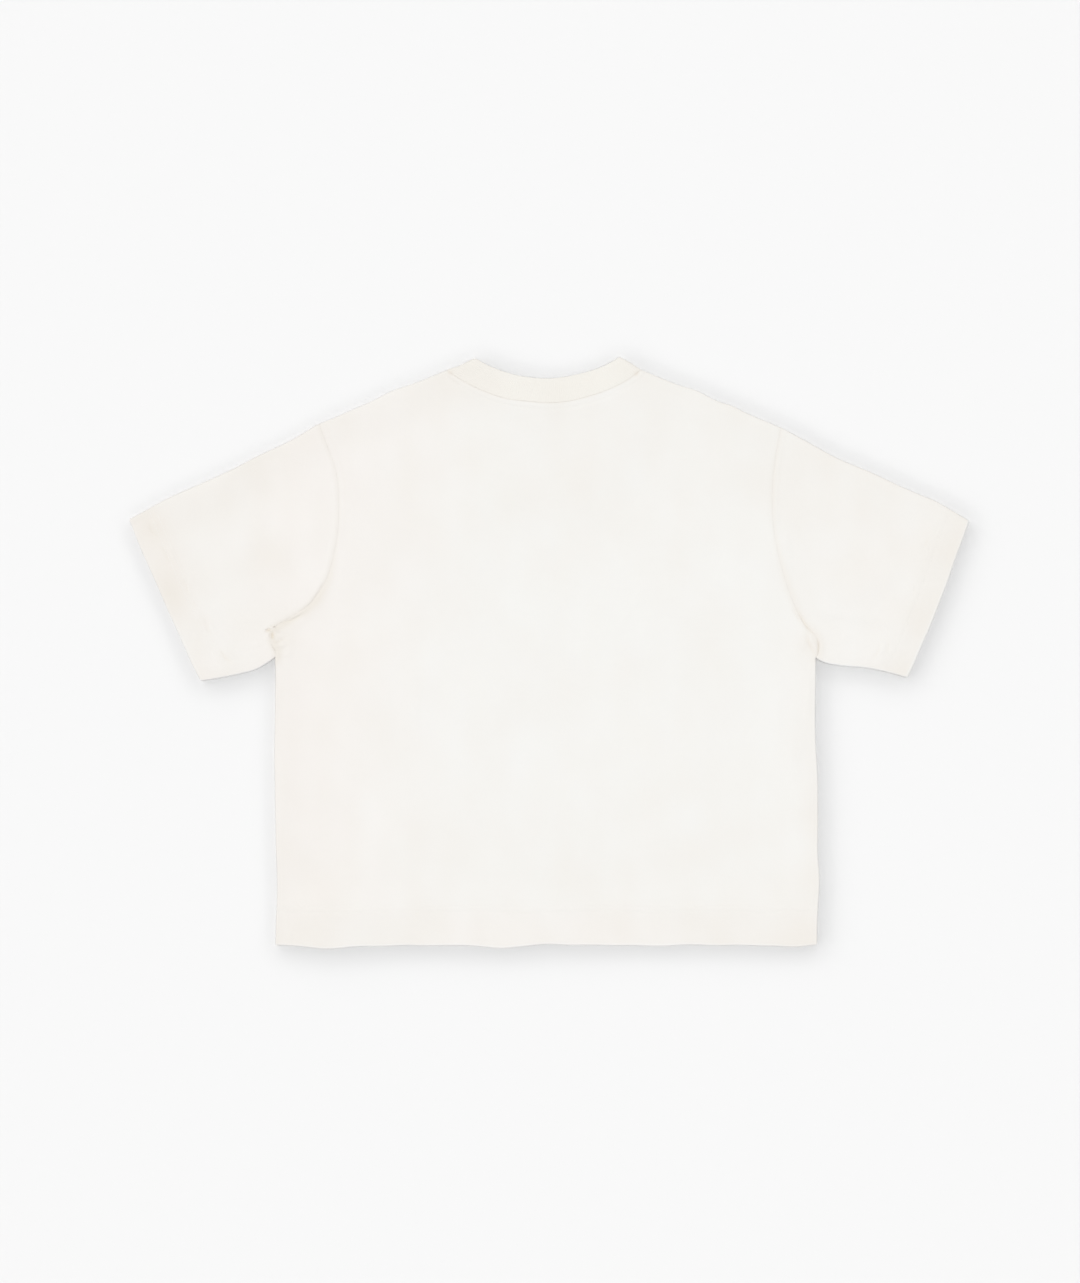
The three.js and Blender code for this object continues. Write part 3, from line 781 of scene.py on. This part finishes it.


# Painted shade in a band along each armhole's seam, at the left armpit the sleeve lip's shadow on the
# body: how far to its left it lies at the top and at the armpit, the depth that it gains at the armpit,
# and how far up the seam that holds.
SEAM_SHADE_BANDS = {"left": (0.5, -2.6, 0.5, 85), "right": (-1.0, -1.0, 0.1, 70)}
HEM_PAINTED_LIGHT, LEFT_CUFF_PAINTED_LIGHT, RIGHT_CUFF_PAINTED_LIGHT = 0.5, 0.2, 0.4  # painted light: how much paler each turned edge is made, against the shade where it rounds under
EDGE_PAINTED_LIGHT_WIDTH = (1.2, 2.6)
LEE_PAINTED_LIGHT = 0.75  # painted light: how much paler a folded edge is made where it faces away from the light
LEE_PAINTED_LIGHT_WIDTH = (0.6, 2.6)
GROOVE_SHADE = 0.5  # painted shade for each millimetre of a groove's depth


def seam_painted_shade(points):
    """Painted shade in a soft band along each armhole, wider and deeper towards the armpit."""
    total = 0
    for name, (top, pit, extra, reach) in SEAM_SHADE_BANDS.items():
        distance, along, side = nearest(points, ARMHOLES[name].points)
        near_pit = 1 - smooth(along, reach, reach + 80)
        offset = distance * side - top - (pit - top) * near_pit
        total += (0.24 + extra * near_pit) * dip(offset, 2.6 + 2.2 * near_pit)
        total += 0.07 * dip(distance * side + 6.5, 1.5) * smooth(along, 150, 190)
    return total


def tones(cloth):
    """How far each point is towards the blush and towards the deep tone, which also carries painted shade
    and painted light.
    """
    x, y = cloth.plan.T
    at_hem, turned = cloth.at_hem, 1 - smooth(cloth.past, -24, 10)
    left, right = smooth(-x, 60, 200), smooth(x, 60, 200)
    low, top = 1 - smooth(y, 20, 220), smooth(y, 340, 500)

    # The blush grows to the left as far as the sleeve, and a little to the right.
    blush = 0.75 * smooth(-x, 40, 300) - 0.45 * smooth(-x, 250, 330) + 0.2 * smooth(x, 225, 300)
    blush += 0.2 * top * dip(x + 130, 60)
    blush += turned * np.where(at_hem, 0.45 - 0.62 * left - 0.15 * right, 0.2 * left - 0.1 * right)

    # Sleeves, shoulders, hem and cuffs are deeper, and all of it in patches.
    depth = 0.15 * smooth(-x, 240, 300) + 0.08 * smooth(x, 225, 290)
    depth += 0.15 * low * (1 - 0.45 * left) + 0.13 * top * (1 - left)
    depth += turned * np.where(at_hem, 0.22 * left + 0.11 * right - 0.02, 0.31 * left + 0.24 * right)
    depth += (0.03 + 0.12 * (depth + 0.4 * blush)) * wave_sum(cloth.plan, PATCHES)

    # Folded edges are deeper, partly from wear and partly as painted shade that dulls the light on their
    # roll, and so is a wide band along the left shoulder.
    depth += 0.07 * dip(cloth.fold, 12) + 0.12 * dip(cloth.fold, 36) * left * smooth(y, 400, 480)
    # Painted shade along the armholes' seams and in the neck seam's groove, and a broad faint deeper band
    # round the neck seam.
    neck = seam_distances(cloth)[1]
    depth += seam_painted_shade(cloth.plan) + 0.22 * dip(neck, 1.3) + 0.1 * dip(neck - 10, 16)
    # Painted shade in the grooves, the deeper the more they sink.
    depth -= GROOVE_SHADE * ridge_heights(cloth.plan, GROOVES)
    # Painted light on the turned edges of hem and cuffs, which offsets the shade where they round under.
    edge_painted_light = np.where(at_hem, HEM_PAINTED_LIGHT, LEFT_CUFF_PAINTED_LIGHT * left + RIGHT_CUFF_PAINTED_LIGHT * right)
    # Painted light on folded edges that face away from the light, which offsets the shade of their roll.
    lee_painted_light = LEE_PAINTED_LIGHT * cloth.lee * (1 - smooth(cloth.fold, *LEE_PAINTED_LIGHT_WIDTH))
    depth -= edge_painted_light * (1 - smooth(cloth.edge, *EDGE_PAINTED_LIGHT_WIDTH)) + lee_painted_light

    # Spots of uneven tone on the sleeves and cuffs, and painted shade at the armpits, the lip and the
    # neck's ends.
    for place, reach, more_blush, more_depth in TONE_AND_SHADE_SPOTS:
        share = spot(cloth.plan, place, reach)
        blush += more_blush * share
        depth += more_depth * share
    return np.stack([blush, depth], -1).reshape(*cloth.shape, 2)


# ---- Materials ----
BLUSH = (0.890, 0.848, 0.815)
DEEP = (0.828, 0.790, 0.735)
JERSEY_PALE = (0.878, 0.878, 0.859)
RIB_PALE = (0.874, 0.861, 0.814)
THREAD_DEEP = (0.82, 0.80, 0.765)
THREAD_PALE = (0.90, 0.89, 0.865)
# Metres between the knit's columns, and between its rows.
WALE = 0.00105
COURSE = 0.0009


class Graph:
    """A material's nodes. Their inputs are numbers, colours or the outputs of others."""

    def __init__(self, name):
        self.material = bpy.data.materials.new(name)
        self.material.use_nodes = True
        self.nodes, self.links = self.material.node_tree.nodes, self.material.node_tree.links
        self.surface = self.nodes["Principled BSDF"]
        self.place = self.add("TexCoord", {}).outputs["Object"]

    def feed(self, node, inputs):
        for name, value in inputs.items():
            if isinstance(value, bpy.types.NodeSocket):
                self.links.new(value, node.inputs[name])
            else:
                node.inputs[name].default_value = (*value, 1) if isinstance(value, tuple) else value
        return node

    def add(self, kind, inputs, **settings):
        node = self.nodes.new("ShaderNode" + kind)
        for name, value in settings.items():
            setattr(node, name, value)
        return self.feed(node, inputs)

    def out(self, kind, inputs, **settings):
        """The first output of a new node."""
        return self.add(kind, inputs, **settings).outputs[0]

    def math(self, operation, *values):
        return self.out("Math", dict(enumerate(values)), operation=operation)

    def plus(self, start, value, factor):
        """start, with value times factor added."""
        return self.math("ADD", start, self.math("MULTIPLY", value, factor))

    def noise(self, scale, detail):
        """Noise in the object's own metres."""
        return self.out("TexNoise", {"Scale": scale, "Detail": detail, "Vector": self.place})

    def mixed(self, factor, start, end):
        """A colour from start to end, or past them."""
        mix = self.add("Mix", {"Factor": factor}, data_type="RGBA", clamp_factor=False)
        first, last = [number for number, s in enumerate(mix.inputs) if s.type == "RGBA"]
        self.feed(mix, {first: start, last: end})
        return [s for s in mix.outputs if s.type == "RGBA"][0]


def knit_height(graph, u, v):
    """Columns of V-shaped stitches: u runs across the columns and v along them, in metres."""
    across = graph.math("FRACT", graph.math("DIVIDE", u, WALE))
    off_middle = graph.math("ABSOLUTE", graph.math("SUBTRACT", across, 0.5))
    slant = graph.math("MULTIPLY", off_middle, 1.1)
    up = graph.math("ADD", graph.math("DIVIDE", v, COURSE), slant)
    loops = graph.math("SINE", graph.math("MULTIPLY", up, 2 * math.pi))
    between = graph.math("POWER", graph.math("MULTIPLY", off_middle, 2), 3)
    return graph.math("SUBTRACT", graph.math("MULTIPLY", loops, 0.35), between)


def knit_material(name, pale):
    """Off-white knitted cotton: stitches, fuzz, uneven dye, painted shade between its stitches, and the
    tones that its points carry.
    """
    graph = Graph(name)
    grain = graph.add("SeparateXYZ", {0: graph.out("UVMap", {}, uv_map="grain")}).outputs
    u = graph.plus(grain[0], graph.noise(14, 2), 0.004)
    stitches = knit_height(graph, u, grain[1])
    fuzz, slub = graph.noise(1400, 3), graph.noise(260, 3)
    height = graph.plus(graph.plus(stitches, fuzz, 0.9), slub, 0.8)

    patches = graph.math("SUBTRACT", graph.noise(9, 3), 0.5)
    blush, depth = (graph.add("Attribute", {}, attribute_name=n).outputs["Fac"] for n in TONES)
    depth = graph.plus(depth, patches, 0.3)
    # Deeper between the raised stitches, as painted shade in the knit's hollows, and with the fuzz as
    # uneven tone.
    depth = graph.plus(graph.plus(depth, fuzz, 0.35), stitches, -0.25)
    colour = graph.mixed(blush, pale, BLUSH)
    graph.feed(graph.surface, {
        "Base Color": graph.mixed(depth, colour, DEEP),
        "Normal": graph.out("Bump", {"Height": height, "Strength": 0.5, "Distance": 0.00018}),
        "Roughness": graph.out("MapRange", {"Value": fuzz, "To Min": 0.86, "To Max": 0.98}),
        "Specular IOR Level": 0.25,
        "Sheen Weight": 0.08,
        "Sheen Roughness": 0.6,
    })
    return graph.material


def thread_material():
    graph = Graph("thread")
    grain = graph.noise(2600, 2)
    ramp = graph.add("ValToRGB", {0: grain})
    for element, colour in zip(ramp.color_ramp.elements, (THREAD_DEEP, THREAD_PALE)):
        element.color = (*colour, 1)
    graph.feed(graph.surface, {
        "Base Color": ramp.outputs[0],
        "Normal": graph.out("Bump", {"Height": grain, "Strength": 0.4, "Distance": 0.0001}),
        "Roughness": 0.7,
        "Specular IOR Level": 0.3,
    })
    return graph.material


JERSEY = knit_material("jersey", JERSEY_PALE)
RIB = knit_material("rib", RIB_PALE)
THREAD = thread_material()


# ---- The pieces ----
def dress(piece, node=None):
    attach(piece, "root")
    if node:
        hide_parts(node)
    return piece


def make_panel(name, node, layer, *steps):
    plan = panel_plan(layer, *steps)
    cloth = Cloth(layer, name, plan)
    apart = np.zeros((len(cloth.plan), 3))
    apart[:, 2] = SEAM_GAP / 2 * cloth.up * (1 - cloth.sine)
    outer, inner = faces_of(cloth, True, apart)
    return dress(shell(name, outer, inner, plan, tones(cloth), JERSEY, False), node)


def lip_lean(cloth):
    """The left sleeve's cloth leans out over the body, and turns under to its seam."""
    shift = np.zeros((len(cloth.plan), 3))
    if cloth.layer == "lower":
        return shift
    curve = ARMHOLES["left"]
    distance, along, taper = lip_places(cloth.plan)
    amount = LIP_LEAN * taper * smooth(cloth.fold, 2, 12) * (distance / 2) * np.exp(1 - distance / 2)
    shift[:, :2] = -left_of(curve.ways(along / curve.length)) * amount[:, None]
    return shift


def layers_joined(parts):
    """The outer face, inner face and tones of both layers, each as one grid that goes all round."""
    return (np.concatenate(part, axis=1) for part in zip(*parts))


def make_sleeve(name, node, side, *steps):
    plan = sleeve_plan(side, *steps)
    parts = []
    # The lower layer comes back from the top edge, without the two columns that both layers have.
    for layer, columns in (("upper", slice(None)), ("lower", slice(-2, 0, -1))):
        cloth = Cloth(layer, name, plan)
        faces = faces_of(cloth, False, lip_lean(cloth) if side == "left" else 0.0)
        parts.append([part[:, columns] for part in (*faces, tones(cloth))])
    outer, inner, shade = layers_joined(parts)
    axis = unit(np.subtract(SIDES[side]["cuff_low"], SIDES[side]["armpit"]))
    along, across = plan @ axis, plan @ left_of(axis)
    back = slice(-2, None, -1)
    around = np.concatenate([across, 2 * across[:, -1:] - across[:, back]], axis=1)
    grain = np.stack([around, np.concatenate([along, along[:, back]], axis=1)], -1)
    return dress(shell(name, outer, inner, grain, shade, JERSEY, True), node)


RIB_PITCH = 2.1
RIB_SAMPLES = 6
RIB_RELIEF = 0.2
RIB_BARREL = 0.45
RIB_WIDTH = 26


def make_collar(name, node):
    """Rows from the free edge to the seam, columns round the back and then the front."""
    rows = spaced(RIB_WIDTH, 2.2, 0.5, EDGE_STEP)
    places = inset(rows, RIB_WIDTH)[:, None, None]
    parts, done = [], 0
    for layer, turn in (("upper", 1), ("lower", -1)):
        middle_length = (NECK_SEAMS[layer].length + NECK_EDGES[layer].length) / 2
        count = RIB_SAMPLES * round(middle_length / RIB_PITCH)
        shares = np.linspace(0, 1, count + 1)[::turn]
        seam, edge = seam_edge(NECK_SEAMS[layer], shares, 1), NECK_EDGES[layer].at(shares)
        plan = (edge * (1 - places) + seam * places)[:, :-1]
        cloth = Cloth(layer, name, plan)
        across = np.broadcast_to(rows[:, None], cloth.shape)
        ribs = 0.5 - 0.5 * np.cos(2 * math.pi * (done + np.arange(count)) / RIB_SAMPLES)
        fade = 0.35 + 0.65 * smooth(across, 0, 0.08) * (1 - smooth(across, 0.9, 1))
        out = -RIB_RELIEF * ribs * fade
        if layer == "upper":
            out = out + RIB_BARREL * np.sin(math.pi * across)
        out = out.ravel() + turned_edge(seam_distances(cloth)[1], NECK_ROUND)
        moved = [cloth.points + cloth.roll_out * np.reshape(move, (-1, 1)) for move in (out, -DOUBLE)]
        parts.append([*(warped(face, layer).reshape(*cloth.shape, 3) for face in moved), tones(cloth)])
        done += count
    outer, inner, shade = layers_joined(parts)
    around = np.arange(done + 1) * RIB_PITCH / RIB_SAMPLES
    grain = np.stack(np.broadcast_arrays(around[None], RIB_WIDTH * rows[:, None]), -1)
    return dress(shell(name, outer, inner, grain, shade, RIB, True), node)


# ---- Threads ----
STITCH_PITCH = 3.2
STITCH_LENGTH = 2.7
THREAD_RADIUS = 0.2
THREAD_SIDES = 6
# A stitch's rings: places along it, shares of its radius, and how far they sink.
RING_PLACES = np.array([-0.5, -0.42, -0.2, 0.2, 0.42, 0.5])
RING_GIRTHS = np.array([0.45, 0.85, 1, 1, 0.85, 0.45])
RING_SINKS = np.array([0.9, 0.45, 0, 0, 0.45, 0.9])
HEM_CLEAR, CUFF_CLEAR, NECK_CLEAR = 0.6, 1.0, 3  # from the folded edges to the rows' ends


def stitch_row(curve, layer, is_body, clear):
    """Points of capsules of thread, end to end along a plan curve, half sunk in the cloth."""
    start, end = clear, curve.length - clear
    count = int((end - start) / STITCH_PITCH)
    middles = start + (np.arange(count) + 0.5) * (end - start) / count
    along = ((middles[:, None] + RING_PLACES * STITCH_LENGTH) / curve.length).ravel()
    ways = curve.ways(along)
    cloth = Cloth(layer, "thread", curve.at(along))
    side = np.column_stack([left_of(ways), np.zeros(len(ways))])
    up = cloth.roll_out
    side = unit(side - (side * up).sum(1)[:, None] * up)
    lift = relief(cloth, is_body) + THREAD_RADIUS * (0.35 - 1.2 * np.tile(RING_SINKS, count))
    if layer == "lower":
        lift = np.minimum(lift, -THREAD_RADIUS)
    centre = cloth.points + up * lift[:, None]
    turns = (np.arange(THREAD_SIDES) * math.pi / (THREAD_SIDES / 2))[:, None]
    radius = THREAD_RADIUS * np.tile(RING_GIRTHS, count)[:, None, None]
    ring = np.cos(turns) * side[:, None] + np.sin(turns) * up[:, None]
    return warped((centre[:, None] + radius * ring).reshape(-1, 3), layer)


def stitch_faces(count):
    """Sides between the rings of each stitch, and a cap at both its ends, for so many points."""
    faces = []
    size = len(RING_PLACES) * THREAD_SIDES
    for first in range(0, count, size):
        for ring in range(first, first + size - THREAD_SIDES, THREAD_SIDES):
            for n in range(THREAD_SIDES):
                a, b = ring + n, ring + (n + 1) % THREAD_SIDES
                faces.append((a, b, b + THREAD_SIDES, a + THREAD_SIDES))
        faces.append(tuple(range(first + THREAD_SIDES - 1, first - 1, -1)))
        faces.append(tuple(range(first + size - THREAD_SIDES, first + size)))
    return faces


def make_stitches(name, curves, is_body, clear):
    """One object from rows of stitches, each a layer and a plan curve."""
    points = np.concatenate([stitch_row(curve, layer, is_body, clear) for layer, curve in curves])
    faces = stitch_faces(len(points))
    if signed_volume(points, faces) < 0:
        faces = [f[::-1] for f in faces]
    return dress(build_mesh(name, points, faces, None, np.zeros((len(points), 2)), THREAD))


def offset_curve(curve, distance):
    """A curve moved to its left, with its ends on the same two folded edges."""
    shares = np.linspace(0, 1, 81)
    return Curve(curve.at(shares) + distance * left_of(curve.ways(shares)))


def cuff_rows(name):
    inward = -1 if name == "left" else 1
    curves = [offset_curve(CUFFS[name], inward * place) for place in CUFF_STITCHES]
    return [(layer, curve) for curve in curves for layer in LAYERS]


HEM_ROWS = [
    (layer, Curve([(-HALF_CHEST + HEM_CLEAR, place), (HALF_CHEST - HEM_CLEAR, place)]))
    for place in HEM_STITCHES for layer in LAYERS
]
NECK_ROWS = [(layer, offset_curve(NECK_SEAMS[layer], -NECK_STITCH)) for layer in LAYERS]

# The last numbers are a grid's steps: the largest, that at the turned edge, and that at the armpit.
back_cloth = make_panel("back_cloth", "back_panel", "upper", 4.6, 1.35, 1.3)
front_cloth = make_panel("front_cloth", "front_panel", "lower", 6.5, 2.2, 3.0)
left_sleeve = make_sleeve("left_sleeve", "sleeve_left", "left", 3.6, 1.3, 1.2)
right_sleeve = make_sleeve("right_sleeve", "sleeve_right", "right", 3.6, 1.3, 1.4)
neck_rib = make_collar("neck_rib", "collar")
hem_stitches = make_stitches("hem_stitches", HEM_ROWS, True, 0)
left_cuff_stitches = make_stitches("left_cuff_stitches", cuff_rows("left"), False, CUFF_CLEAR)
right_cuff_stitches = make_stitches("right_cuff_stitches", cuff_rows("right"), False, CUFF_CLEAR)
neck_stitches = make_stitches("neck_stitches", NECK_ROWS, True, NECK_CLEAR)

# ---- Floor, light and camera ----
VIEW_HEIGHT = 1.329  # metres of floor from the top of the picture to its bottom
CAMERA_HEIGHT = 2.8
VIEW_MIDDLE = (-5.7, 314.4)  # garment millimetres
FLOOR_TONE = 0.6139
FLOOR_GRAIN = 0.001
FLOOR_REACH = 12.0
FLOOR_DROP = 0.0001
SENSOR = 36
WORLD = 0.44
KEY_AZIMUTH = 135
LOW_SUNS = 12  # on the floor alone, for the even shadow round the cloth
LOW_SHARE, LOW_ANGLE = 0.037, 13


def make_floor():
    graph = Graph("floor")
    ends = {"To Min": FLOOR_TONE - FLOOR_GRAIN, "To Max": FLOOR_TONE + FLOOR_GRAIN}
    graph.feed(graph.surface, {
        "Base Color": graph.out("MapRange", {"Value": graph.noise(500, 2), **ends}),
        "Roughness": 1.0,
        "Specular IOR Level": 0.0,
    })
    mesh = bpy.data.meshes.new("floor")
    near, far = -FLOOR_REACH, FLOOR_REACH
    corners = [(x, y, -FLOOR_DROP) for x, y in ((near, near), (far, near), (far, far), (near, far))]
    mesh.from_pydata(corners, [], [(0, 1, 2, 3)])
    mesh.materials.append(graph.material)
    floor = placed("floor", mesh)
    return floor


def make_sun(name, share, angle, azimuth, elevation):
    """A lamp that gives a level surface its share of light. azimuth is where it stands, from +X."""
    data = bpy.data.lights.new(name, "SUN")
    data.energy = share * math.pi / math.sin(math.radians(elevation))
    data.angle = math.radians(angle)
    lamp = placed(name, data)
    lamp.rotation_euler = (0, math.radians(90 - elevation), math.radians(azimuth))
    return lamp


def make_world(strength):
    world = bpy.data.worlds.new("studio")
    world.use_nodes = True
    background = world.node_tree.nodes["Background"]
    background.inputs["Color"].default_value = (1, 1, 1, 1)
    background.inputs["Strength"].default_value = strength
    bpy.context.scene.world = world


def make_camera():
    data = bpy.data.cameras.new("camera")
    data.sensor_width = SENSOR
    data.lens = SENSOR * CAMERA_HEIGHT / VIEW_HEIGHT
    camera = placed("camera", data)
    camera.location = (*(VIEW_MIDDLE + ORIGIN[:2]) * MM, CAMERA_HEIGHT)
    bpy.context.scene.camera = camera


floor = make_floor()
make_world(WORLD)
make_sun("overhead", share=0.59, angle=30, azimuth=0, elevation=90)
make_sun("key", share=0.07, angle=25, azimuth=KEY_AZIMUTH, elevation=30)
floor_only = bpy.data.collections.new("floor_only")
floor_only.objects.link(floor)
for k in range(LOW_SUNS):
    azimuth = 360 / LOW_SUNS * k
    lean = math.cos(math.radians(azimuth - KEY_AZIMUTH))
    lamp = make_sun(f"low_{k}", LOW_SHARE * (1 + 0.6 * lean), LOW_ANGLE, azimuth, 15 - 4 * lean)
    lamp.light_linking.receiver_collection = floor_only
make_camera()
bpy.context.scene.view_settings.view_transform = "Standard"
